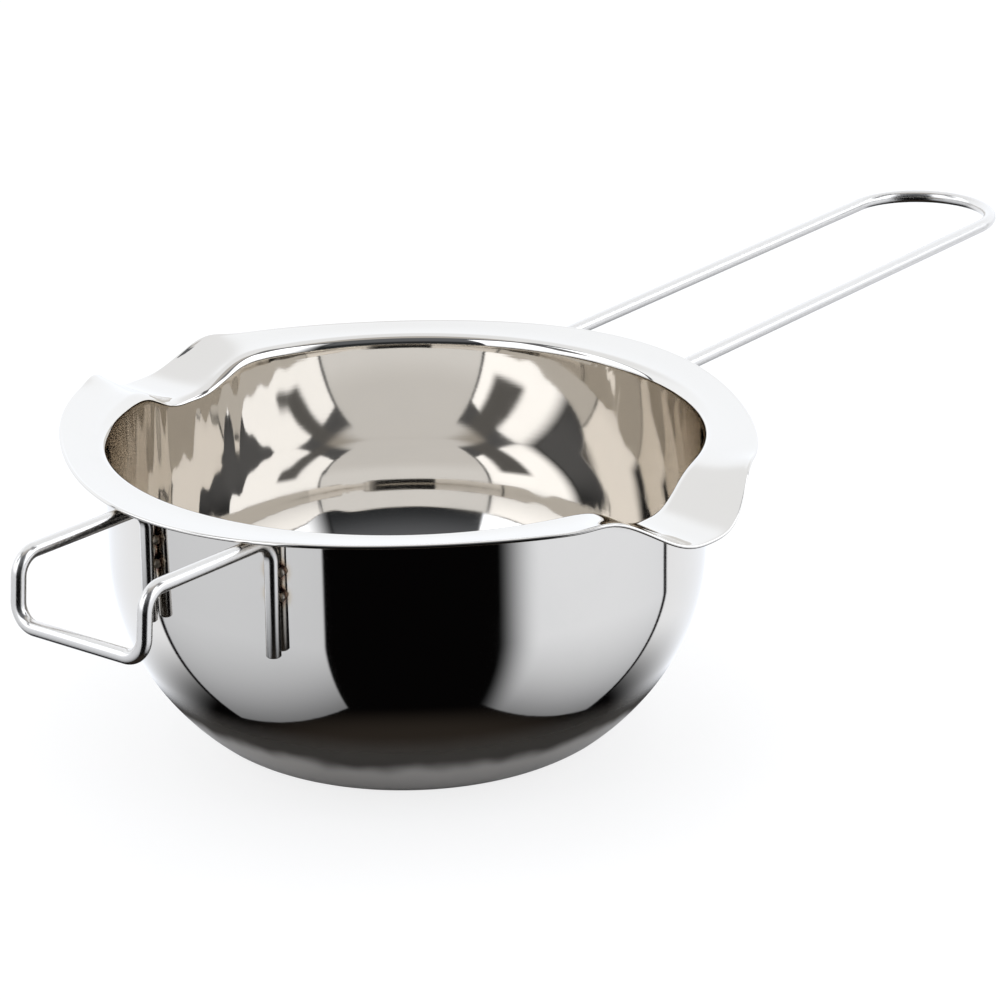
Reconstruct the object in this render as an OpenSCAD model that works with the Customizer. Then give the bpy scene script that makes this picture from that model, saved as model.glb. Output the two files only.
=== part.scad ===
// Candle melting pot: a pressed sheet-steel bowl with two pour spouts in its flange,
// a long wire loop handle, a short wire hook that rests the pot on the edge of an outer
// pan, and the weld beads that hold both wires to the wall.
// Origin: centre of the flat base. +Z up, +Y along the long handle, spouts on +X and -X.

/* [Bowl] */
// outside diameter of the straight part of the wall
bowl_d = 123; // [110:1:148]
// height of the flange's inner edge above the flat base
bowl_h = 64.3; // [54:0.1:78]
// height of the straight part of the wall under the flange
straight_h = 23.9; // [21:0.1:27]
// how full the curved lower wall is, 2 is an ellipse
belly = 2.09; // [1.9:0.01:2.6]
// thickness of the sheet
sheet_t = 0.8; // [0.6:0.05:1.1]
// outside radius of the bend between wall and flange
flange_bend_r = 2.2; // [1.8:0.1:3]
// mean width of the flange, from the wall to the rim
flange_w = 10.6; // [9:0.1:14]
// how much the rim outline stretches towards the spouts
rim_oval = 1.31; // [0:0.01:2]
// how square the rim outline is
rim_square = 1.92; // [0:0.01:2.4]
// how far the rim stands above the flange's inner edge
rim_rise = 0.72; // [0:0.02:1.2]

/* [Pour spouts] */
// depth of the +X spout at its lip
lip_depth = 7.6; // [5:0.1:10]
// depth of the -X spout at its lip
left_lip_depth = 6.3; // [5:0.1:10]
// depth of the spouts where they leave the bowl
throat_depth = 5.9; // [3:0.1:7]
// half-width of the +X lip
lip_half_w = 14.3; // [10:0.1:18]
// half-width of the -X lip
left_lip_half_w = 11.2; // [10:0.1:18]
// half-width of the throat
throat_half_w = 12.3; // [9:0.1:15]
// how far the lip bulges beyond the rim
lip_reach = 2.4; // [0:0.1:3]
// how far the rim is pushed up at the shoulders beside each spout
shoulder_rise = 0.8; // [0:0.1:1.2]
// how far the spouts are turned from square to the handle, in degrees
spout_turn = -2; // [-4:0.5:4]

/* [Wires] */
// diameter of both bent wires
wire_d = 3; // [2.4:0.1:3.6]
// centre distance of the long handle's two wires
handle_gauge = 34.5; // [26:0.5:44]
// distance from the bowl's axis to the far end of the long handle
handle_reach = 222; // [150:1:280]
// how far the long handle's wires lie below the flange
handle_drop = 4.4; // [3.6:0.1:7]
// upward tilt of the long handle, in degrees
handle_tilt = 0.56; // [0:0.02:6]
// centre distance of the rest hook's two wires
hook_gauge = 31.8; // [24:0.1:40]
// distance from the bowl's axis to the hook's outer face
hook_reach = 98.7; // [92:0.1:116]
// how far the hook's crossbar hangs below its arms
hook_drop = 13.7; // [11:0.1:18]
// upward tilt of the hook's arms, in degrees
hook_tilt = 1.2; // [0:0.1:3]
// whether the crossbar stands a little further out than the hook's top corners
hook_splayed = true; // [true, false]
// length of the wire legs that lie against the wall
leg_len = 24; // [19:0.1:27]
// centre-line radius of the small bends in the wires
bend_r = 4.5; // [3.5:0.1:5.2]

/* [Welds] */
// radius of one weld bead
bead_r = 1.2; // [1.1:0.05:1.5]
// distance between the two weld spots on a leg
weld_gap = 5; // [4:0.1:6]

/* [Hidden] */
steel = "#d9dbdd";
wire_c = "#c4c7ca";
weld_c = "#8d8983";
wall_r = bowl_d / 2;
wire_r = wire_d / 2;
in_r = wall_r - sheet_t;
rim_r = in_r + flange_bend_r * 0.32 + flange_w;
curve_h = bowl_h - straight_h;
semi = curve_h / 0.7784;
leg_c = wall_r + wire_r + 0.02;
arm_z = bowl_h - handle_drop;
hook_r = norm([hook_gauge / 2, leg_y(hook_gauge / 2) + bend_r]);
flange_r = in_r + flange_bend_r;
hook_z = tidy(bowl_h - sheet_t - wire_r - 0.03
    + rim_rise * (hook_r - flange_r) / (rim_r + rim_square - flange_r));
// sine and cosine of the splay, a pair with short decimals so that faces meet exactly
splay = hook_splayed ? [0.07584, 0.99712] : [0, 1];

// ---- columns: closer together across the spouts
near_a = [for (a = [-30 : 2.5 : 27.5]) a];
far_a = [for (a = [30 : 5 : 145]) a];
cols = concat(near_a, far_a, [for (a = near_a) a + 180], [for (a = far_a) a + 180]);
nc = len(cols);

// ---- spout shape: 1 on the spout's axis, 0 away from it
function across(y, w) = exp(-pow(abs(y) / w, 3));
function turn(a) = a - spout_turn;
function fold(a) = cos(turn(a)) < 0.2 && cos(turn(a)) > -0.2 ? 0 : 1;
function side_y(r, a) = r * sin(turn(a));
function in_g(a) = fold(a) * across(side_y(in_r + flange_bend_r, a), throat_half_w);
function lip_w(a) = cos(turn(a)) > 0 ? lip_half_w : left_lip_half_w;
function lip_d(a) = cos(turn(a)) > 0 ? lip_depth : left_lip_depth;
function lip_g(a) = fold(a) * across(side_y(rim_r, a), lip_w(a));
function shoulder_g(a) = fold(a)
    * exp(-pow((abs(side_y(rim_r, a)) - 1.5 * lip_w(a)) / 4.5, 2));
function rim_at(a) = rim_r + rim_oval * cos(2 * a) + rim_square * cos(4 * a)
    + lip_reach * lip_g(a);

// ---- profile rows: [radius, height below the flange, sink weight, flange fraction, drop]
function curve_r(rr, u) = rr * sqrt(1 - pow(u, belly));
function curve(rr, h, u) = [curve_r(rr, u), -straight_h - h * u];
function bez(a, b, c, t) = (1 - t) * (1 - t) * a + 2 * t * (1 - t) * b + t * t * c;
function corner(rr, h, top, t) = bez(
    curve(rr, h, 0.71), [curve_r(rr, top), -straight_h - h * top],
    [curve_r(rr, top) - 4.5, -straight_h - h * top], t);
function body(rr, h, top) = concat(
    [for (t = [1 : -0.25 : 0.01]) corner(rr, h, top, t)],
    [for (u = [0.71, 0.63, 0.54, 0.44, 0.33, 0.21, 0.1, 0]) curve(rr, h, u)]);
function sink(z) = z > -straight_h ? pow(1 + z / straight_h, 1.6) : 0;
function row(p, v, d) = [p[0], p[1], sink(p[1]), v, d];
function bend(rr, t) = [in_r + flange_bend_r - rr * cos(t),
    -flange_bend_r + rr * sin(t)];
bend_t = [0, 25, 50, 72, 90];
flange_v = [0.3, 0.62, 1];

inside = concat(
    [for (p = body(in_r, semi - sheet_t, (curve_h - sheet_t) / (semi - sheet_t))) row(p, 0, 0)],
    [row([in_r, -straight_h * 0.62], 0, 0), row([in_r, -straight_h * 0.3], 0, 0)],
    [for (t = bend_t) row(bend(flange_bend_r, t), 0, 0)],
    [for (v = flange_v) [0, 0, 0, v, 0]]);
outside = concat(
    [for (p = body(wall_r, semi, curve_h / semi)) row(p, 0, 0)],
    [row([wall_r, -straight_h * 0.62], 0, 0), row([wall_r, -straight_h * 0.3], 0, 0)],
    [for (t = bend_t) row(bend(flange_bend_r - sheet_t, t), 0, 0)],
    [for (v = flange_v) [0, 0, 0, v, sheet_t]]);
ni = len(inside);
no = len(outside);

function base_r(v, a) = (1 - v) * (in_r + flange_bend_r) + v * rim_at(a);
function body_pt(p, a) = [p[0] * cos(a), p[0] * sin(a),
    bowl_h + p[1] - p[2] * throat_depth * in_g(a)];
function flange_pt(v, d, a) = [base_r(v, a) * cos(a), base_r(v, a) * sin(a),
    bowl_h - d + v * rim_rise - (1 - v) * throat_depth * in_g(a)
    - v * lip_d(a) * lip_g(a) + v * v * v * shoulder_rise * shoulder_g(a)];
function pt(p, a) = p[3] > 0 ? flange_pt(p[3], p[4], a) : body_pt(p, a);

function quad(a, b, c, d) = [[a, b, c], [a, c, d]];
function nxt(j) = (j + 1) % nc;
function band(s, k) = [for (j = [0 : nc - 1]) each quad(
    s + k * nc + j, s + k * nc + nxt(j), s + (k + 1) * nc + nxt(j), s + (k + 1) * nc + j)];
function flip(f) = [for (t = f) [t[0], t[2], t[1]]];
function rim_band(a, b) = [for (j = [0 : nc - 1]) each quad(
    a + j, a + nxt(j), b + nxt(j), b + j)];

in_pts = [for (p = inside) for (a = cols) pt(p, a)];
out_pts = [for (p = outside) for (a = cols) pt(p, a)];
o0 = ni * nc;
c_in = (ni + no) * nc;
c_out = c_in + 1;
all_pts = concat(in_pts, out_pts,
    [[0, 0, sheet_t]], [[0, 0, 0]]);
all_faces = concat(
    [for (j = [0 : nc - 1]) [c_in, nxt(j), j]],
    [for (k = [0 : ni - 2]) each band(0, k)],
    rim_band((ni - 1) * nc, o0 + (no - 1) * nc),
    flip([for (k = [0 : no - 2]) each band(o0, k)]),
    [for (j = [0 : nc - 1]) [c_out, o0 + j, o0 + nxt(j)]]);

module bowl() {
    color(steel)
        polyhedron(points = all_pts, faces = all_faces, convexity = 8);
}

// ---- wires: a path of corner points, each corner rounded with one arc
function tidy(v) = round(v * 1000) / 1000;
function leg_y(x) = tidy(sqrt(leg_c * leg_c - x * x));
function unit(v) = v / norm(v);
function ahead(p, i) = unit(p[i + 1] - p[i]);
function cut_at(p, r, i) = i == 0 || i == len(p) - 1 ? 0 : r[i];
function frame_of(x, y, z, o) = [[x[0], y[0], z[0], o[0]], [x[1], y[1], z[1], o[1]],
    [x[2], y[2], z[2], o[2]], [0, 0, 0, 1]];
function beside(u) = cross(abs(u[2]) < 0.9 ? [0, 0, 1] : [1, 0, 0], u);

// a round rod from a to b
module rod(a, b) {
    u = unit(b - a);
    x = beside(u);
    multmatrix(frame_of(x, cross(u, x), u, a))
        cylinder(h = norm(b - a), r = wire_r, $fn = 48);
}

// a quarter or half ring of wire
module ring(r, angle) {
    rotate_extrude(angle = angle, $fn = 96)
        translate([r, 0])
            circle(r = wire_r, $fn = 48);
}

// the right-angle arc that rounds corner i
module corner_ring(p, r, i) {
    u = ahead(p, i - 1);
    n = ahead(p, i);
    multmatrix(frame_of(-n, u, cross(u, n), p[i] + (n - u) * r[i]))
        ring(r[i], 90);
}

module wire(p, r) {
    for (i = [0 : len(p) - 2])
        rod(p[i] + ahead(p, i) * cut_at(p, r, i),
            p[i + 1] - ahead(p, i) * cut_at(p, r, i + 1));
    for (i = [1 : len(p) - 2])
        corner_ring(p, r, i);
}

// tips a wire up about the place where its legs meet its arms
module lean(tilt, y, z) {
    translate([0, y, z])
        rotate([tilt, 0, 0])
            translate([0, -y, -z])
                children();
}

module long_handle() {
    g = handle_gauge / 2;
    y0 = leg_y(g);
    y1 = tidy(handle_reach - wire_r - g);
    color(wire_c)
        lean(handle_tilt, y0, arm_z)
            union() {
                for (x = [-g, g])
                    wire([[x, y0, arm_z - leg_len], [x, y0, arm_z], [x, y1, arm_z]],
                        [0, bend_r, 0]);
                translate([0, y1, arm_z])
                    ring(g, 180);
            }
}

// the hook is drawn towards +Y and turned to -Y
module rest_hook() {
    g = hook_gauge / 2;
    y0 = leg_y(g);
    d = hook_drop - bend_r;
    yc = tidy(hook_reach - wire_r - bend_r * splay[1] - d * splay[0]);
    color(wire_c)
        rotate([0, 0, 180])
            lean(hook_tilt, y0, hook_z)
                union() {
                    for (x = [-g, g])
                        wire([[x, y0, hook_z - leg_len], [x, y0, hook_z],
                            [x, yc, hook_z]], [0, bend_r, 0]);
                    translate([0, yc, hook_z - bend_r]) {
                        for (x = [-g, g])
                            top_corner(x);
                        splayed()
                            wire([[g, bend_r, 0], [g, bend_r, -d], [-g, bend_r, -d],
                                [-g, bend_r, 0]], [0, bend_r, bend_r, 0]);
                    }
                }
}

module splayed() {
    multmatrix([[1, 0, 0, 0], [0, splay[1], -splay[0], 0], [0, splay[0], splay[1], 0],
        [0, 0, 0, 1]])
        children();
}

// the hook's top corner: the splayed quarter ring, cut flush with the arm's end
module top_corner(x) {
    difference() {
        splayed()
            multmatrix(frame_of([0, 1, 0], [0, 0, 1], [1, 0, 0], [x, 0, 0]))
                ring(bend_r, 90);
        if (hook_splayed)
            translate([x - 10, -20, -20])
                cube([20, 20, 40]);
    }
}

// ---- welds: a bead in the nook on each side of a leg, at two heights
module bead(x, s, z, tilt, top) {
    a = atan2(leg_y(x), x);
    difference() {
        rotate([0, 0, a])
            translate([wall_r + 0.6, s * (wire_r + 0.1), z])
                sphere(r = bead_r, $fn = 36);
        lean(tilt, leg_y(x), top)
            translate([x, leg_y(x), z - 4])
                cylinder(h = 8, r = wire_r, $fn = 48);
        translate([0, 0, z - 3])
            cylinder(h = 6, r = wall_r, $fn = 180);
    }
}

module beads(g, tilt, top) {
    for (x = [-g, g])
        for (s = [-1, 1])
            for (k = [0, 1])
                bead(x, s, top - 7 - k * weld_gap, tilt, top);
}

module handle_welds() {
    color(weld_c)
        beads(handle_gauge / 2, handle_tilt, arm_z);
}

module hook_welds() {
    color(weld_c)
        rotate([0, 0, 180])
            beads(hook_gauge / 2, hook_tilt, hook_z);
}

bowl();
long_handle();
rest_hook();
handle_welds();
hook_welds();
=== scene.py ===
# %% [markdown]
# # A candle melting pot, from its CAD frame to a finished picture
# The real thing is three pieces of stainless steel: a bowl pressed from thin sheet, and
# two lengths of round wire bent into a long handle and a short hook, spot-welded to the
# bowl's wall. This lesson loads the imported CAD model, makes a smooth skin for each piece
# and gives every one of them its own steel.

# %% Load the frame
import math

import bpy
import numpy as np
from mathutils import Matrix, Vector


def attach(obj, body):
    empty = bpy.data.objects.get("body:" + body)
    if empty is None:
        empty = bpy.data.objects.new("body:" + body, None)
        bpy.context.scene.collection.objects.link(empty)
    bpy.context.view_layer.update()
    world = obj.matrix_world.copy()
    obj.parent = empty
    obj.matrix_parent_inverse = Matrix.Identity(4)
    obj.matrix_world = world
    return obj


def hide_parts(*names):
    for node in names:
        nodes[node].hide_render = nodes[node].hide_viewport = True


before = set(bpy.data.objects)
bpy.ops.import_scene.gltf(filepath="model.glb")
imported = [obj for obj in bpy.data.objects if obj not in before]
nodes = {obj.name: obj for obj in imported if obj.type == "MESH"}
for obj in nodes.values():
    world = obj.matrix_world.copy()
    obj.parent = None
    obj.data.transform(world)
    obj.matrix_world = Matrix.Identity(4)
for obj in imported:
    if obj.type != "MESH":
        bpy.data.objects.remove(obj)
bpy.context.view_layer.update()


print("CAD nodes", sorted(nodes))

# %% [markdown]
# ## Camera
# A long lens about three quarters of a metre away, looking down by twenty degrees, keeps
# the rim's ellipse and the parallel wires of the handle as they are in a catalogue shot.
# The camera is turned by a matrix whose columns are its right, up and backward
# directions, so that its slight roll needs no further sums.

# %% Camera
RIGHT = Vector((0.798043, 0.602447, -0.013599))
UP = Vector((-0.198864, 0.284598, 0.937794))
BACK = Vector((0.568841, -0.745695, 0.346927))
CAMERA_AT = Vector((0.436941, -0.541365, 0.305170))
camera_data = bpy.data.cameras.new("studio_camera")
camera_data.lens = 129.8
camera_data.sensor_width = 36.0
camera = bpy.data.objects.new("studio_camera", camera_data)
turn = Matrix((RIGHT, UP, BACK)).transposed().to_4x4()
camera.matrix_world = Matrix.Translation(CAMERA_AT) @ turn
bpy.context.scene.collection.objects.link(camera)
bpy.context.scene.camera = camera
toward = Vector((CAMERA_AT.x, CAMERA_AT.y, 0)).normalized()
across = Vector((-toward.y, toward.x, 0))
print("camera distance", round(CAMERA_AT.length, 3), "m")


# %% [markdown]
# ## Small helpers for shader nodes
# A node tree is a list of boxes and wires. Three short helpers keep each material
# readable: one adds a node and sets its values, one wires an output to an input, and one
# does a sum. A group's sockets are made through its interface.

# %% Node helpers
class Tree:
    def __init__(self, tree):
        self.tree = tree

    def add(self, kind, values=None, **settings):
        node = self.tree.nodes.new(kind)
        for name, value in settings.items():
            setattr(node, name, value)
        for name, value in (values or {}).items():
            self.put(value, node.inputs[name])
        return node

    def put(self, value, socket):
        if isinstance(value, bpy.types.NodeSocket):
            self.tree.links.new(value, socket)
        else:
            socket.default_value = value

    def math(self, operation, *values, clamp=False):
        node = self.add("ShaderNodeMath", operation=operation, use_clamp=clamp)
        for i, value in enumerate(values):
            self.put(value, node.inputs[i])
        return node.outputs[0]

    def vec(self, operation, *values, out=0):
        node = self.add("ShaderNodeVectorMath", operation=operation)
        for i, value in enumerate(values):
            self.put(value, node.inputs[i])
        return node.outputs[out]

    def dot(self, a, b):
        return self.vec("DOT_PRODUCT", a, b, out="Value")

    def smooth(self, value, low, high, to_low=0.0, to_high=1.0):
        node = self.add("ShaderNodeMapRange", interpolation_type="SMOOTHSTEP")
        for name, v in (("Value", value), ("From Min", low), ("From Max", high),
                        ("To Min", to_low), ("To Max", to_high)):
            self.put(v, node.inputs[name])
        return node.outputs["Result"]

    def mix(self, factor, a, b):
        node = self.add("ShaderNodeMix", data_type="RGBA")
        self.put(factor, node.inputs["Factor"])
        self.put(a, node.inputs[6])
        self.put(b, node.inputs[7])
        return node.outputs[2]

    def xyz(self, x, y, z):
        return self.add("ShaderNodeCombineXYZ", {"X": x, "Y": y, "Z": z}).outputs[0]

    def split(self, vector):
        return self.add("ShaderNodeSeparateXYZ", {"Vector": vector}).outputs


def new_group(name, inputs, outputs):
    group = bpy.data.node_groups.new(name, "ShaderNodeTree")
    for label, kind, value in inputs:
        socket = group.interface.new_socket(label, in_out="INPUT", socket_type=kind)
        if value is not None:
            socket.default_value = value
    for label, kind in outputs:
        group.interface.new_socket(label, in_out="OUTPUT", socket_type=kind)
    t = Tree(group)
    return t, t.add("NodeGroupInput").outputs, t.add("NodeGroupOutput").inputs


def place(tree, group_name, values):
    node = tree.add("ShaderNodeGroup", node_tree=bpy.data.node_groups[group_name])
    for name, value in values.items():
        tree.put(value, node.inputs[name])
    return node.outputs


FLOAT, VECTOR, COLOR = "NodeSocketFloat", "NodeSocketVector", "NodeSocketColor"

# %% [markdown]
# ## Studio
# Polished steel has almost no colour of its own: it shows the room. So the light is
# planned as a room with a white backdrop beyond the pot, a tall softbox on each side of
# the camera, a broad cloth overhead and darkness behind the camera. Each softbox is a
# window in the world shader: a direction falls in the window when the line along it
# crosses a flat panel. The rest is chosen by two numbers of the direction: its yaw, in
# degrees from the camera's side towards the camera's right, and its height. A world is
# smoother and less noisy than lamps here.

# %% A window-shaped light, as a node group
t, i, o = new_group(
    "Softbox window",
    [("Direction", VECTOR, None), ("Facing", VECTOR, None), ("Sideways", VECTOR, None),
     ("Upward", VECTOR, None), ("Half width", FLOAT, 0.7), ("Low", FLOAT, -1.0),
     ("High", FLOAT, 1.0), ("Edge", FLOAT, 0.02)],
    [("Mask", FLOAT), ("Side", FLOAT), ("Height", FLOAT)])
depth = t.math("MAXIMUM", t.dot(i["Direction"], i["Facing"]), 0.0001)
side = t.math("DIVIDE", t.dot(i["Direction"], i["Sideways"]), depth)
height = t.math("DIVIDE", t.dot(i["Direction"], i["Upward"]), depth)
inside_w = t.math("SUBTRACT", i["Half width"], t.math("ABSOLUTE", side))
inside_lo = t.math("SUBTRACT", height, i["Low"])
inside_hi = t.math("SUBTRACT", i["High"], height)
nearest = t.math("MINIMUM", inside_w, t.math("MINIMUM", inside_lo, inside_hi))
in_front = t.math("GREATER_THAN", depth, 0.001)
mask = t.math("MULTIPLY", t.smooth(nearest, 0.0, i["Edge"]), in_front)
t.put(mask, o["Mask"])
t.put(side, o["Side"])
t.put(height, o["Height"])
print("group", t.tree.name)

# %% World and its directions
world = bpy.data.worlds.new("studio_room")
bpy.context.scene.world = world
world.use_nodes = True
world.node_tree.nodes.clear()
w = Tree(world.node_tree)
direction = w.add("ShaderNodeTexCoord").outputs["Generated"]
forward_amount = w.dot(direction, toward)
up_amount = w.split(direction)["Z"]


def horizontal(yaw):
    """Unit vector turned from the camera's side of the room towards its right."""
    a = math.radians(yaw)
    return toward * math.cos(a) + across * math.sin(a)


def window(value, open_from, open_to, close_from, close_to):
    """1 between two soft edges of a value, 0 outside them."""
    return w.math("MULTIPLY", w.smooth(value, open_from, open_to),
                  w.smooth(value, close_to, close_from))


yaw_now = w.math("MULTIPLY", w.math("ARCTAN2", w.dot(direction, across),
                                    forward_amount), 180 / math.pi)
off_axis = w.math("ABSOLUTE", yaw_now)

# %% Room and backdrop
# the room behind the camera: black low down, slate higher up, brown at the very bottom
room = w.mix(w.smooth(up_amount, 0.30, 0.62), (0.032, 0.035, 0.039, 1),
             (0.16, 0.17, 0.19, 1))
room = w.mix(w.smooth(up_amount, 0.05, -0.15), room, (0.002, 0.0018, 0.002, 1))
room = w.mix(w.smooth(up_amount, -0.80, -0.95), room, (0.030, 0.025, 0.021, 1))
# the white backdrop beyond the object, and the grey-cream wall above it
beyond_left = w.smooth(yaw_now, -111.5, -113.0)
beyond_right = w.smooth(yaw_now, 115.0, 116.5)
backdrop = w.math("MAXIMUM", beyond_left, beyond_right)
backdrop = w.math("MULTIPLY", backdrop, w.smooth(up_amount, -0.75, -0.45))
paper = w.mix(w.smooth(up_amount, -0.15, 0.10), (1.13, 1.18, 1.27, 1),
              (1.32, 1.39, 1.50, 1))
paper = w.mix(w.smooth(up_amount, 0.45, 0.75), paper, (1.15, 1.20, 1.28, 1))
light = w.mix(backdrop, room, paper)

# %% Softboxes, gap and cloth
# the two tall softboxes, dimmer towards the floor and towards the camera
for yaw, half, top_level, low_level, inner in (
        (-71.0, 0.82, 1.07, 0.21, 0.02), (73.5, 0.86, 1.33, 0.25, 0.45)):
    box = place(w, "Softbox window", {
        "Direction": direction, "Facing": horizontal(yaw),
        "Sideways": horizontal(yaw + 90), "Upward": (0, 0, 1),
        "Half width": half, "Low": -1.75, "High": 1.7, "Edge": 0.04})
    level = w.smooth(box["Height"], -2.0, 0.2, low_level, top_level)
    level = w.math("ADD", level, w.smooth(up_amount, 0.0, 0.35, 0.0, 1.0))
    inward = w.math("MULTIPLY", box["Side"], 1.0 if yaw < 0 else -1.0)
    level = w.math("MULTIPLY", level, w.smooth(inward, half, half - inner))
    tone = w.vec("SCALE", (0.95, 1.0, 1.09))
    w.put(level, tone.node.inputs["Scale"])
    light = w.mix(box["Mask"], light, tone)
# a dark gap above the outer part of each softbox, and the broad warm cloth overhead
gap = w.math("MAXIMUM", window(yaw_now, 70.0, 78.0, 98.0, 106.0),
             window(yaw_now, -90.0, -84.0, -72.0, -66.0))
gap = w.math("MULTIPLY", gap, window(up_amount, 0.50, 0.58, 0.90, 0.94))
light = w.mix(gap, light, (0.19, 0.195, 0.205, 1))
cloth = w.mix(w.smooth(off_axis, 80.0, 110.0), (0.62, 0.61, 0.60, 1), (1.14, 1.19, 1.27, 1))
light = w.mix(w.smooth(up_amount, 0.90, 0.93), light, cloth)
# the camera itself sees a plain white room
seen = w.add("ShaderNodeLightPath").outputs["Is Camera Ray"]
light = w.mix(seen, light, (1.0, 1.0, 1.0, 1))
# everything but the camera meets the room a little dimmer than it is painted
STUDIO_LEVEL = 0.943
strength = w.math("ADD", STUDIO_LEVEL, w.math("MULTIPLY", seen, 1.0 - STUDIO_LEVEL))
background = w.add("ShaderNodeBackground", {"Color": light, "Strength": strength})
w.put(background.outputs[0], w.add("ShaderNodeOutputWorld").inputs["Surface"])
bpy.context.scene.view_settings.view_transform = "Standard"
# light runs round the inside of a polished bowl many times before it leaves
bpy.context.scene.cycles.max_bounces = 20
bpy.context.scene.cycles.glossy_bounces = 16
print("world nodes", len(world.node_tree.nodes))

# %% [markdown]
# ## Floor
# One white plane carries the pot. The camera sees it mostly by a glow of its own, so that
# it meets the white room without an edge and keeps a faint shade under the pot. The
# steel should not mirror a white table: a mirrored ray sees only a small block of painted
# shadow under the pot, dark with an uneven grey ring of painted light, and beyond it
# passes through the plane to the room.

# %% Floor
bpy.ops.mesh.primitive_plane_add(size=6, location=(0, 0, -0.0002))
floor = bpy.context.object
floor.name = "pale_floor"
paint = bpy.data.materials.new("pale_table")
paint.use_nodes = True
paint.node_tree.nodes.clear()
m = Tree(paint.node_tree)
spot = m.add("ShaderNodeTexCoord").outputs["Object"]
grain = m.add("ShaderNodeTexNoise", {"Vector": spot, "Scale": 60.0, "Detail": 4.0})
tint = m.mix(grain.outputs["Fac"], (0.90, 0.90, 0.90, 1), (0.93, 0.93, 0.93, 1))
path = m.add("ShaderNodeLightPath")
ripple = m.add("ShaderNodeTexNoise", {"Vector": spot, "Scale": 55.0, "Detail": 2.0})
uneven = m.math("ADD", m.vec("LENGTH", spot, out="Value"),
                m.math("MULTIPLY", ripple.outputs["Fac"], 0.008))
# painted shadow under the pot for mirrored rays: dark near the base, then an uneven grey ring
# of painted light
painted_light_ring = m.math("MULTIPLY", m.smooth(uneven, 0.034, 0.040), m.smooth(uneven, 0.056, 0.050))
painted_floor_shadow = m.mix(painted_light_ring, (0.09, 0.085, 0.08, 1), (0.62, 0.61, 0.60, 1))
# mirrored rays see the painted shadow and painted light ring, the camera sees the pale tint
shown = m.mix(path.outputs["Is Glossy Ray"], tint, painted_floor_shadow)
matt = m.add("ShaderNodeBsdfDiffuse", {"Color": shown})
lit = m.add("ShaderNodeEmission", {"Color": (1, 1, 1, 1), "Strength": 1.0})
washed = m.add("ShaderNodeMixShader", {"Fac": m.math(
    "MULTIPLY", path.outputs["Is Camera Ray"], 0.82)})
m.put(matt.outputs[0], washed.inputs[1])
m.put(lit.outputs[0], washed.inputs[2])
from_axis = m.vec("LENGTH", spot, out="Value")
beyond = m.smooth(from_axis, 0.052, 0.064)
mirrored = m.math("MULTIPLY", path.outputs["Is Glossy Ray"], beyond)
clear = m.add("ShaderNodeBsdfTransparent")
shader = m.add("ShaderNodeMixShader", {"Fac": mirrored})
m.put(washed.outputs[0], shader.inputs[1])
m.put(clear.outputs[0], shader.inputs[2])
m.put(shader.outputs[0], m.add("ShaderNodeOutputMaterial").inputs["Surface"])
floor.data.materials.append(paint)

lamp_data = bpy.data.lights.new("floor_wash", "AREA")
lamp_data.shape = "DISK"
lamp_data.size = 1.6
lamp_data.energy = 16.0
lamp = bpy.data.objects.new("floor_wash", lamp_data)
lamp.location = (0, 0.1, 1.5)
lamp.visible_glossy = False
lamp.visible_camera = False
bpy.context.scene.collection.objects.link(lamp)
print("floor and one soft wash lamp")

# %% [markdown]
# ## Steel surface effects
# Four effects make a mirror finish look like metal and not like glass: polishing lines
# left by the buffing wheel, a few hair scratches from use, faint smudges from handling,
# and the straw-to-blue tint that welding leaves. Each one is a node group that puts out
# a mask or a colour.

# %% Polishing lines
t, i, o = new_group("Polishing lines",
                    [("Along", FLOAT, None), ("Aside", FLOAT, None), ("Third", FLOAT, None),
                     ("Fineness", FLOAT, 900.0), ("Stretch", FLOAT, 0.03)],
                    [("Lines", FLOAT)])
stretched = t.xyz(t.math("MULTIPLY", i["Along"], t.math("MULTIPLY", i["Fineness"],
                                                        i["Stretch"])),
                  t.math("MULTIPLY", i["Aside"], i["Fineness"]),
                  t.math("MULTIPLY", i["Third"], i["Fineness"]))
fine = t.add("ShaderNodeTexNoise", {"Vector": stretched, "Scale": 1.0, "Detail": 3.0,
                                    "Roughness": 0.6}).outputs["Fac"]
coarse = t.add("ShaderNodeTexNoise", {"Vector": stretched, "Scale": 0.23, "Detail": 2.0,
                                      "Roughness": 0.5}).outputs["Fac"]
t.put(t.math("ADD", t.math("MULTIPLY", fine, 0.6), t.math("MULTIPLY", coarse, 0.4)),
      o["Lines"])
print("group", t.tree.name)

# %% Hair scratches
t, i, o = new_group("Hair scratches",
                    [("Point", VECTOR, None), ("Size", FLOAT, 40.0), ("Few", FLOAT, 0.93)],
                    [("Scratches", FLOAT)])
total = None
for angles in ((0.3, 0.2, 0.9), (1.1, 0.7, 2.4), (0.5, 1.9, 0.1)):
    turned = t.add("ShaderNodeVectorRotate", {"Vector": i["Point"], "Rotation": angles},
                   rotation_type="EULER_XYZ").outputs[0]
    squeezed = t.vec("MULTIPLY", turned, (0.06, 3.0, 3.0))
    scaled = t.vec("SCALE", squeezed)
    t.put(i["Size"], scaled.node.inputs["Scale"])
    line = t.add("ShaderNodeTexNoise", {"Vector": scaled, "Scale": 5.0, "Detail": 1.0,
                                        "Roughness": 0.4}).outputs["Fac"]
    ridge = t.math("SUBTRACT", 1.0, t.math("ABSOLUTE", t.math("SUBTRACT", t.math(
        "MULTIPLY", line, 2.0), 1.0)))
    hair = t.smooth(ridge, t.math("ADD", i["Few"], 0.05), 1.0)
    patch = t.add("ShaderNodeTexNoise", {"Vector": turned, "Scale": 55.0}).outputs["Fac"]
    hair = t.math("MULTIPLY", hair, t.smooth(patch, 0.52, 0.62))
    total = hair if total is None else t.math("MAXIMUM", total, hair)
t.put(total, o["Scratches"])
print("group", t.tree.name)

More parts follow.
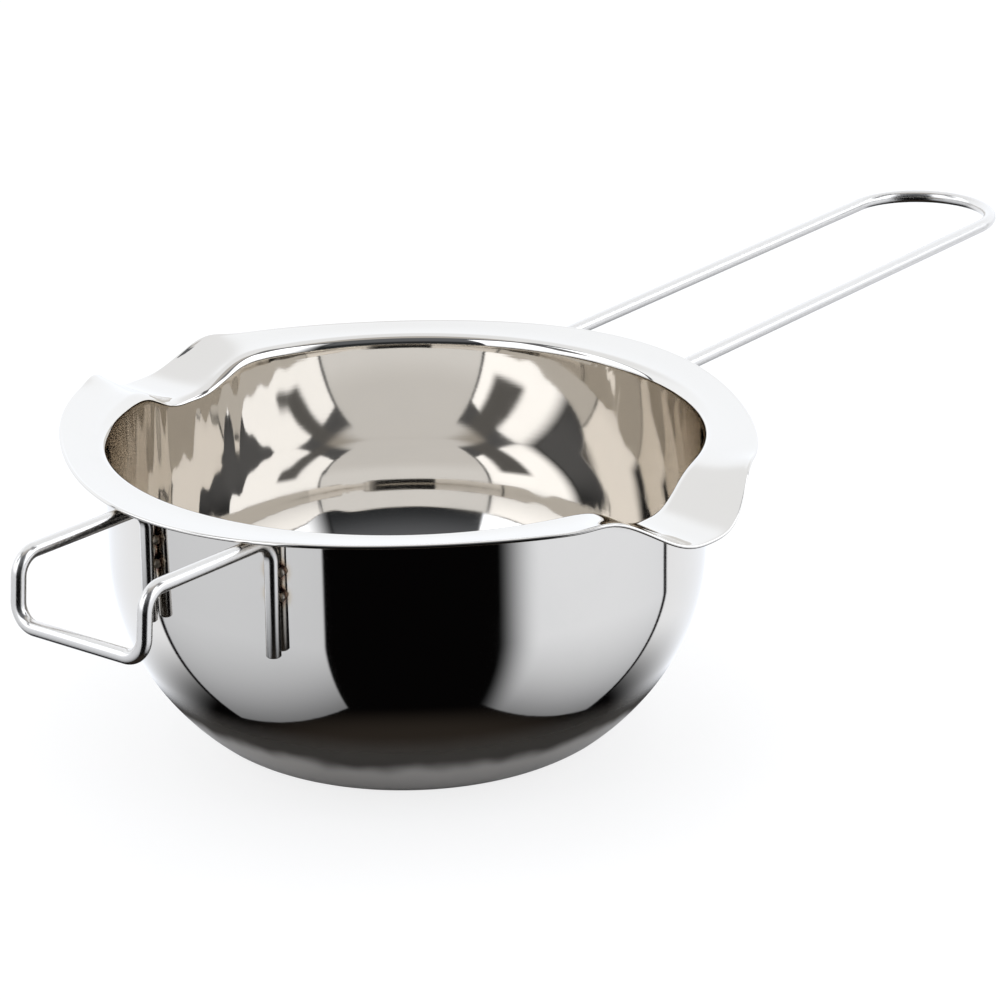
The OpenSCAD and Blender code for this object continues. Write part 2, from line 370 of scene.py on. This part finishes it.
# %% Smudges
t, i, o = new_group("Smudges",
                    [("Point", VECTOR, None), ("Size", FLOAT, 30.0), ("Amount", FLOAT, 0.5)],
                    [("Smudge", FLOAT)])
scaled = t.vec("SCALE", i["Point"])
t.put(i["Size"], scaled.node.inputs["Scale"])
cloud = t.add("ShaderNodeTexNoise", {"Vector": scaled, "Scale": 1.0, "Detail": 5.0,
                                     "Roughness": 0.62, "Distortion": 0.6}).outputs["Fac"]
t.put(t.math("MULTIPLY", t.smooth(cloud, 0.48, 0.74), i["Amount"]), o["Smudge"])
print("group", t.tree.name)

# %% Heat tint
t, i, o = new_group("Heat tint",
                    [("Steel", COLOR, (0.66, 0.63, 0.58, 1)), ("Distance", FLOAT, 1.0),
                     ("Reach", FLOAT, 0.004)],
                    [("Color", COLOR), ("Heat", FLOAT)])
near_weld = t.math("DIVIDE", i["Distance"], i["Reach"])
ramp = t.add("ShaderNodeValToRGB", {"Fac": near_weld})
bands = [(0.0, (0.20, 0.19, 0.19, 1)), (0.25, (0.22, 0.24, 0.33, 1)),
         (0.45, (0.42, 0.30, 0.27, 1)), (0.70, (0.62, 0.50, 0.34, 1)),
         (1.0, (0.66, 0.63, 0.58, 1))]
stops = ramp.color_ramp.elements
stops[0].position, stops[0].color = bands[0]
stops[1].position, stops[1].color = bands[-1]
for position, colour in bands[1:-1]:
    stops.new(position).color = colour
heat = t.smooth(near_weld, 1.0, 0.35)
t.put(t.mix(heat, i["Steel"], ramp.outputs["Color"]), o["Color"])
t.put(heat, o["Heat"])
print("group", t.tree.name)

# %% [markdown]
# ## Sizes shared by the pieces
# The skins follow the same sums as the CAD source, in metres, so that each one lies on
# its solid.

# %% Sizes
MM = 0.001
WALL_R = 61.5 * MM
SHEET = 0.8 * MM
BEND_R = 2.2 * MM
STRAIGHT = 23.9 * MM
BELLY = 2.09
BOWL_H = 64.3 * MM
IN_R = WALL_R - SHEET
RIM_R = IN_R + BEND_R * 0.32 + 10.6 * MM
RIM_RISE = 0.72 * MM
SEMI = (BOWL_H - STRAIGHT) / 0.7784
SPOUT_TURN = math.radians(-2.0)
BASE_CORNER = 4.5 * MM
BELLY_SHARE = 0.71
WIRE_R = 1.5 * MM

# %% [markdown]
# ## Bowl
# The bowl is one pressed sheet: flat base, a full round belly, a straight upper wall, a
# tight bend and a flange whose two sides are pressed down into pour spouts. A lathe
# modifier could turn the profile, but it could not press the spouts. So the skin is a
# grid: one line of points up the inside, round the rim and down the outside, repeated
# round the axis, and each point is sunk by the spout's share at its place. Faint upright
# ripples inside, below the spouts, and two small dents in the flange are left by the
# press. They are fractions of a millimetre, and only the skin has them.

# %% Bowl profile
def curve_row(radius, semi, u):
    return radius * np.sqrt(1 - u ** BELLY), -STRAIGHT - semi * u


def belly_rows(radius, semi, top):
    """Base, its rounded corner and the curved wall, from the axis outwards and up."""
    r0, z0 = curve_row(radius, semi, np.array(BELLY_SHARE))
    r1 = radius * math.sqrt(1 - top ** BELLY)
    z1 = -STRAIGHT - semi * top
    flat = [(r, z1) for r in np.linspace(0.5 * MM, r1 - BASE_CORNER, 14)[:-1]]
    corner = []
    for s in np.linspace(1, 0, 12)[:-1]:
        a, b, c = (1 - s) ** 2, 2 * s * (1 - s), s ** 2
        corner.append((a * r0 + b * r1 + c * (r1 - BASE_CORNER), a * z0 + b * z1 + c * z1))
    wall = [tuple(map(float, curve_row(radius, semi, u)))
            for u in BELLY_SHARE * np.linspace(1, 0, 36) ** 1.3]
    return flat + corner + wall


def spread(z):
    return np.where(z > -STRAIGHT, np.clip(1 + z / STRAIGHT, 0, 1) ** 1.6, 0.0)


def across_spout(y, half_width):
    return np.exp(-(np.abs(y) / half_width) ** 3)


# profile rows: radius, height, share of the throat's depth, flange fraction, under side
def side_rows(radius, semi, top, bend, under):
    rows = [(r, z, 0.0, under) for r, z in belly_rows(radius, semi, top)]
    rows += [(radius, z, 0.0, under) for z in np.linspace(-STRAIGHT, -BEND_R, 18)[1:-1]]
    for a in np.linspace(0, math.pi / 2, 15):
        rows.append((IN_R + BEND_R - bend * math.cos(a), -BEND_R + bend * math.sin(a),
                     0.0, under))
    rows += [(0.0, 0.0, v, under) for v in np.linspace(0, 1, 18)[1:]]
    return rows


upper = side_rows(IN_R, SEMI - SHEET, (BOWL_H - STRAIGHT - SHEET) / (SEMI - SHEET),
                  BEND_R, 0.0)
lower = side_rows(WALL_R, SEMI, (BOWL_H - STRAIGHT) / SEMI, BEND_R - SHEET, 1.0)
rim = [(0.0, 0.0, 1.0, (1 - math.cos(a)) / 2) for a in np.linspace(0, math.pi, 8)[1:-1]]
rows = np.array(upper + rim + lower[::-1])
print("profile rows", len(rows))

# %% Spouts round the rim
COLUMNS = 432
RIM_OVAL, RIM_SQUARE = 1.31 * MM, 1.92 * MM
THROAT_DEPTH, THROAT_HALF, LIP_REACH = 5.9 * MM, 12.3 * MM, 2.4 * MM
SHOULDER_RISE, SHOULDER_W = 0.8 * MM, 4.5 * MM
phi = np.linspace(0, 2 * math.pi, COLUMNS, endpoint=False)
on_right = np.cos(phi - SPOUT_TURN) > 0
lip_depth = np.where(on_right, 7.6, 6.3) * MM
lip_half = np.where(on_right, 14.3, 11.2) * MM
facing_spout = np.abs(np.cos(phi - SPOUT_TURN)) > 0.2
aside = RIM_R * np.sin(phi - SPOUT_TURN)
throat = facing_spout * across_spout((IN_R + BEND_R) * np.sin(phi - SPOUT_TURN), THROAT_HALF)
lip = facing_spout * across_spout(aside, lip_half)
shoulder = facing_spout * np.exp(-((np.abs(aside) - 1.5 * lip_half) / SHOULDER_W) ** 2)
rim_line = (RIM_R + RIM_OVAL * np.cos(2 * phi) + RIM_SQUARE * np.cos(4 * phi)
            + LIP_REACH * lip)


# %% Bowl points
def ease(v):
    return v * v * (2 - v)


r, z, v, under = (rows[:, k:k + 1] for k in range(4))
on_flange = v > 0
radius = np.where(on_flange, (1 - v) * (IN_R + BEND_R) + v * rim_line, r)
height = np.where(
    on_flange,
    -under * SHEET + ease(v) * RIM_RISE - (1 - ease(v)) * THROAT_DEPTH * throat
    - ease(v) * lip_depth * lip + v ** 3 * SHOULDER_RISE * shoulder,
    z - spread(z) * THROAT_DEPTH * throat)
in_rim = (v >= 1) & (under > 0) & (under < 1)
radius = radius - np.where(v >= 1, SHEET / 2, 0) + np.where(
    in_rim, np.sqrt(np.clip(1 - (2 * under - 1) ** 2, 0, 1)) * SHEET / 2, 0)
# the press leaves shallow upright ripples in the wall below each spout, inside
RIPPLE = 0.035 * MM
fade = np.clip(1 + z / (1.9 * STRAIGHT), 0, 1) * np.clip(-z / (4 * MM), 0, 1)
beside = np.exp(-(np.abs(aside) / (27 * MM)) ** 4) * facing_spout
waves = np.sin(53 * phi + 0.7) + 0.7 * np.sin(87 * phi + 2.1) + 0.5 * np.sin(23 * phi)
radius = radius + np.where((v == 0) & (under == 0), RIPPLE * fade * beside * waves, 0)
xs, ys = radius * np.cos(phi), radius * np.sin(phi)
# where the flange folds down into a spout the sheet buckles a little
for x, y, long, short, depth in ((-66.0, 14.0, 4.2, 2.2, 0.30), (69.5, 11.0, 4.0, 1.3, 0.20)):
    out = ((xs - x * MM) * x + (ys - y * MM) * y) / math.hypot(x, y)
    side = (-(xs - x * MM) * y + (ys - y * MM) * x) / math.hypot(x, y)
    dent = np.exp(-(out / (long * MM)) ** 2 - (side / (short * MM)) ** 2)
    height = height - np.where(on_flange & (v < 1), depth * MM * dent, 0)
points = np.stack([xs, ys, height + BOWL_H], -1)

# %% Bowl faces
n_rows = len(rows)
faces = []
for k in range(n_rows - 1):
    for j in range(COLUMNS):
        n = (j + 1) % COLUMNS
        faces.append((k * COLUMNS + j, k * COLUMNS + n,
                      (k + 1) * COLUMNS + n, (k + 1) * COLUMNS + j))
vertices = points.reshape(-1, 3).tolist()
inner_centre = len(vertices)
vertices += [(0, 0, SHEET), (0, 0, 0)]
for j in range(COLUMNS):
    n = (j + 1) % COLUMNS
    faces.append((inner_centre, n, j))
    last = (n_rows - 1) * COLUMNS
    faces.append((inner_centre + 1, last + j, last + n))


def add_mesh(name, vertices, faces):
    mesh = bpy.data.meshes.new(name)
    mesh.from_pydata([tuple(p) for p in vertices], [], faces)
    mesh.validate()
    mesh.shade_smooth()
    piece = bpy.data.objects.new(name, mesh)
    bpy.context.scene.collection.objects.link(piece)
    return piece


bowl = add_mesh("bowl_skin", vertices, faces)
print("bowl skin", len(vertices), "points", len(faces), "faces")

# %% [markdown]
# ## Wires
# Both wires are 3 mm round rod bent on a small former. A curve with a round bevel would
# do, but a swept mesh gives clean cut ends with a small chamfer. The path is a list of
# corner points; each corner becomes an arc, and a ring of points is carried along it.

# %% Wire sweep
def wire_path(corners, radii, steps=18):
    """Points along straight runs and rounded corners."""
    corners = [Vector(c) for c in corners]
    path = [corners[0]]
    for k in range(1, len(corners) - 1):
        u = (corners[k] - corners[k - 1]).normalized()
        q = (corners[k + 1] - corners[k]).normalized()
        angle = u.angle(q)
        cut = radii[k] * math.tan(angle / 2)
        n = (q - u * u.dot(q)).normalized()
        centre = corners[k] - u * cut + n * radii[k]
        for s in range(steps + 1):
            a = angle * s / steps
            point = centre - n * radii[k] * math.cos(a) + u * radii[k] * math.sin(a)
            if (point - path[-1]).length > 0.02 * MM:
                path.append(point)
    path.append(corners[-1])
    return path


def sweep(name, path, radius, around=40, chamfer=0.25 * MM):
    """A round rod along the path, with chamfered flat ends."""
    first = (path[1] - path[0]).normalized()
    last = (path[-1] - path[-2]).normalized()
    stations = [(path[0], first, radius - chamfer)]
    stations.append((path[0] + first * chamfer, first, radius))
    for k in range(1, len(path) - 1):
        t_in = (path[k] - path[k - 1]).normalized()
        t_out = (path[k + 1] - path[k]).normalized()
        stations.append((path[k], (t_in + t_out).normalized(), radius))
    stations.append((path[-1] - last * chamfer, last, radius))
    stations.append((path[-1], last, radius - chamfer))
    normal = first.orthogonal().normalized()
    verts, quads = [], []
    for centre, tangent, rad in stations:
        normal = (normal - tangent * normal.dot(tangent)).normalized()
        side = tangent.cross(normal)
        for j in range(around):
            a = 2 * math.pi * j / around
            verts.append(centre + (normal * math.cos(a) + side * math.sin(a)) * rad)
    for k in range(len(stations) - 1):
        for j in range(around):
            n = (j + 1) % around
            quads.append((k * around + j, k * around + n,
                          (k + 1) * around + n, (k + 1) * around + j))
    quads.append(tuple(range(around - 1, -1, -1)))
    base = (len(stations) - 1) * around
    quads.append(tuple(base + j for j in range(around)))
    piece = add_mesh(name, verts, quads)
    for polygon in piece.data.polygons[-2:]:
        polygon.use_smooth = False
    return piece


def lean(points, tilt, y, z):
    c, s = math.cos(math.radians(tilt)), math.sin(math.radians(tilt))
    return [Vector((p.x, y + (p.y - y) * c - (p.z - z) * s, z + (p.y - y) * s + (p.z - z) * c))
            for p in points]


WIRE_GAP = 0.02 * MM
LEG_C = WALL_R + WIRE_R + WIRE_GAP
LEG_LEN = 24.0 * MM
WIRE_BEND = 4.5 * MM


def leg_y(x):
    return math.sqrt(LEG_C ** 2 - x ** 2)


# %% Long handle
HANDLE_G = 17.25 * MM
HANDLE_Z = BOWL_H - 4.4 * MM
HANDLE_REACH, HANDLE_LEAN = 222.0 * MM, 0.56
y0 = leg_y(HANDLE_G)
y1 = HANDLE_REACH - WIRE_R
half = [(HANDLE_G, y0, HANDLE_Z - LEG_LEN), (HANDLE_G, y0, HANDLE_Z), (HANDLE_G, y1, HANDLE_Z)]
loop = half + [(-x, y, z) for x, y, z in half[::-1]]
path = wire_path(loop, [0, WIRE_BEND, HANDLE_G - 1e-6, HANDLE_G - 1e-6, WIRE_BEND, 0], 24)
handle = sweep("long_handle_wire", lean(path, HANDLE_LEAN, y0, HANDLE_Z), WIRE_R)
print("long handle", len(handle.data.vertices), "points")

# %% Rest hook
HOOK_G = 15.9 * MM
HOOK_REACH, HOOK_DROP = 98.7 * MM, 13.7 * MM
HOOK_LEAN, HOOK_SPLAY = 1.2, 4.35
hook_r = math.hypot(HOOK_G, leg_y(HOOK_G) + WIRE_BEND)
HOOK_Z = BOWL_H - SHEET - WIRE_R - 0.03 * MM + RIM_RISE * (
    (hook_r - IN_R - BEND_R) / (RIM_R + RIM_SQUARE - IN_R - BEND_R))
SPLAY_SIN, SPLAY_COS = 0.07584, 0.99712  # of HOOK_SPLAY, as the CAD source rounds them
drop = HOOK_DROP - WIRE_BEND
y0 = leg_y(HOOK_G)
centre_y = HOOK_REACH - WIRE_R - WIRE_BEND * SPLAY_COS - drop * SPLAY_SIN
bend_z = HOOK_Z - WIRE_BEND
corner_y = centre_y + WIRE_BEND * math.tan(math.radians(90 - HOOK_SPLAY) / 2)


def splayed(along, below):
    """A point of the hook's end frame, out along +Y and down by below."""
    return (centre_y + along * SPLAY_COS + below * SPLAY_SIN,
            bend_z + along * SPLAY_SIN - below * SPLAY_COS)


bottom = splayed(WIRE_BEND, drop)
half = [(HOOK_G, y0, HOOK_Z - LEG_LEN), (HOOK_G, y0, HOOK_Z), (HOOK_G, corner_y, HOOK_Z),
        (HOOK_G,) + bottom]
loop = half + [(-x, y, z) for x, y, z in half[::-1]]
path = wire_path(loop, [0] + [WIRE_BEND] * 6 + [0], 18)
path = lean(path, HOOK_LEAN, y0, HOOK_Z)
hook = sweep("rest_hook_wire", [Vector((-p.x, -p.y, p.z)) for p in path], WIRE_R)
print("rest hook", len(hook.data.vertices), "points")

# %% [markdown]
# ## Steel materials
# One recipe serves all three finishes: a warm grey metal whose roughness comes from the
# polishing lines, scratches and smudges, and whose normal comes from the same masks as a
# very slight bump. The sheet's lines run round the bowl's axis; a wire's lines run along
# the wire.

# %% Distance to the nearest weld
FIRST_WELD, WELD_STEP = 7 * MM, 5 * MM
WELD_POINTS = []
for g, top_z, sign in ((HANDLE_G, HANDLE_Z, 1), (HOOK_G, HOOK_Z, -1)):
    for x in (-g, g):
        for k in (0, 1):
            WELD_POINTS.append(Vector((x * WALL_R / LEG_C, sign * leg_y(x) * WALL_R / LEG_C,
                                       top_z - FIRST_WELD - k * WELD_STEP)))


def weld_distance(tree, point):
    nearest = None
    for weld in WELD_POINTS:
        d = tree.vec("DISTANCE", point, tuple(weld), out="Value")
        nearest = d if nearest is None else tree.math("MINIMUM", nearest, d)
    return nearest


# %% Steel recipe
def steel_material(name, base, rough, line_values, fineness, stretch, smudge, few,
                   bump, tint_reach):
    material = bpy.data.materials.new(name)
    material.use_nodes = True
    material.node_tree.nodes.clear()
    m = Tree(material.node_tree)
    point = m.add("ShaderNodeTexCoord").outputs["Object"]
    along, aside, third = line_values(m, point)
    lines = place(m, "Polishing lines", {"Along": along, "Aside": aside, "Third": third,
                                         "Fineness": fineness, "Stretch": stretch})["Lines"]
    hair = place(m, "Hair scratches", {"Point": point, "Size": 40.0, "Few": few})["Scratches"]
    touch = place(m, "Smudges", {"Point": point, "Size": 34.0, "Amount": smudge})["Smudge"]
    parts = m.split(point)
    flat_r = m.vec("LENGTH", m.xyz(parts["X"], parts["Y"], 0.0), out="Value")
    away = m.math("ADD", weld_distance(m, point), m.smooth(flat_r, IN_R + 0.6 * MM,
                                                           IN_R + 0.1 * MM))
    tinted = place(m, "Heat tint", {"Steel": base, "Distance": away,
                                    "Reach": tint_reach})
    dulled = m.mix(m.math("MULTIPLY", touch, 0.25), tinted["Color"], (0.60, 0.58, 0.545, 1))
    roughness = m.math("ADD", rough, m.math("MULTIPLY", lines, rough * 0.8))
    roughness = m.math("ADD", roughness, m.math("MULTIPLY", hair, 0.06))
    roughness = m.math("ADD", roughness, m.math("MULTIPLY", touch, 0.06))
    roughness = m.math("ADD", roughness, m.math("MULTIPLY", tinted["Heat"], 0.12), clamp=True)
    relief = m.math("SUBTRACT", lines, m.math("MULTIPLY", hair, 0.5))
    slope = m.add("ShaderNodeBump", {"Height": relief, "Strength": bump[0],
                                     "Distance": bump[1]})
    bsdf = m.add("ShaderNodeBsdfPrincipled", {"Base Color": dulled, "Metallic": 1.0,
                                              "Roughness": roughness,
                                              "Normal": slope.outputs[0]})
    m.put(bsdf.outputs[0], m.add("ShaderNodeOutputMaterial").inputs["Surface"])
    print("material", name, len(material.node_tree.nodes), "nodes")
    return material


# %% Sheet and wire finishes
def round_the_axis(m, point):
    parts = m.split(point)
    angle = m.math("ARCTAN2", parts["Y"], parts["X"])
    distance = m.math("POWER", m.math("ADD", m.math("POWER", parts["X"], 2.0),
                                      m.math("POWER", parts["Y"], 2.0)), 0.5)
    return m.math("MULTIPLY", angle, 0.06), parts["Z"], distance


def along_the_wire(m, point):
    parts = m.split(point)
    return parts["Y"], parts["X"], parts["Z"]


sheet_steel = steel_material("polished_sheet_steel", (0.70, 0.665, 0.615, 1), 0.028,
                             round_the_axis, 2600.0, 0.02, 0.5, 0.95,
                             (0.10, 0.00002), 4 * MM)
wire_steel = steel_material("bright_wire_steel", (0.70, 0.67, 0.63, 1), 0.15,
                            along_the_wire, 4200.0, 0.03, 0.4, 0.92,
                            (0.25, 0.00003), 3 * MM)
bowl.data.materials.append(sheet_steel)
handle.data.materials.append(wire_steel)
hook.data.materials.append(wire_steel)

# %% [markdown]
# ## Welds
# Each leg is held by small spots of weld metal in the nook between wire and wall, one on
# each side at two heights. A spot is dull, lumpy and blued by the heat. It is made as a
# squashed ball pushed about by a little sum of sines, so that no two look alike.

# %% Weld spots
def weld_lump(verts, faces, at, leg, seed, rings=9, around=14):
    """One squashed, uneven ball: narrow to the side, longer down the leg."""
    radial = Vector((leg.x, leg.y, 0)).normalized()
    side = Vector((-radial.y, radial.x, 0))
    first = len(verts)
    for k in range(rings + 1):
        t = math.pi * k / rings
        for j in range(around):
            a = 2 * math.pi * j / around
            lump = 1 + 0.13 * math.sin(3 * a + seed) * math.sin(t) \
                + 0.10 * math.sin(5 * t + 2 * a + 1.7 * seed)
            verts.append(at + (radial * (0.72 * math.sin(t) * math.cos(a))
                               + side * (0.70 * math.sin(t) * math.sin(a))
                               + Vector((0, 0, 0.95 * math.cos(t)))) * MM * lump)
    for k in range(rings):
        for j in range(around):
            n = (j + 1) % around
            faces.append((first + k * around + j, first + (k + 1) * around + j,
                          first + (k + 1) * around + n, first + k * around + n))
    faces.append(tuple(first + j for j in range(around)))
    last = first + rings * around
    faces.append(tuple(last + j for j in range(around - 1, -1, -1)))


def weld_piece(name, g, top_z, sign):
    verts, faces = [], []
    for x in (-g, g):
        leg = Vector((x, sign * leg_y(x), 0))
        radial = leg.normalized()
        side = Vector((-radial.y, radial.x, 0))
        for s in (-1, 1):
            for k in (0, 1):
                at = radial * (WALL_R + 0.62 * MM) + side * (s * 1.38 * MM)
                at.z = top_z - FIRST_WELD - k * WELD_STEP
                weld_lump(verts, faces, at, leg, x * 900 + 2.1 * s + 1.3 * k)
    return add_mesh(name, verts, faces)


weld_steel = steel_material("weld_metal", (0.30, 0.28, 0.26, 1), 0.30,
                            along_the_wire, 1500.0, 0.6, 0.8, 0.9,
                            (0.6, 0.0002), 3 * MM)
handle_spots = weld_piece("handle_weld_spots", HANDLE_G, HANDLE_Z, 1)
hook_spots = weld_piece("hook_weld_spots", HOOK_G, HOOK_Z, -1)
for spots in (handle_spots, hook_spots):
    spots.data.materials.append(weld_steel)
    print(spots.name, len(spots.data.vertices), "points")

# %% [markdown]
# ## Hand over
# Each skin rides on the one rigid body, stands for its CAD solid and names the finish it
# takes from the record. The two boxes are written so that the sizes can be compared.

# %% Riding and replacing
for piece, node, slot in ((bowl, "bowl", "polished_sheet"),
                          (handle, "long_handle", "bright_wire"),
                          (hook, "rest_hook", "bright_wire"),
                          (handle_spots, "handle_welds", "weld_metal"),
                          (hook_spots, "hook_welds", "weld_metal")):
    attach(piece, "root")
    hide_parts(node)
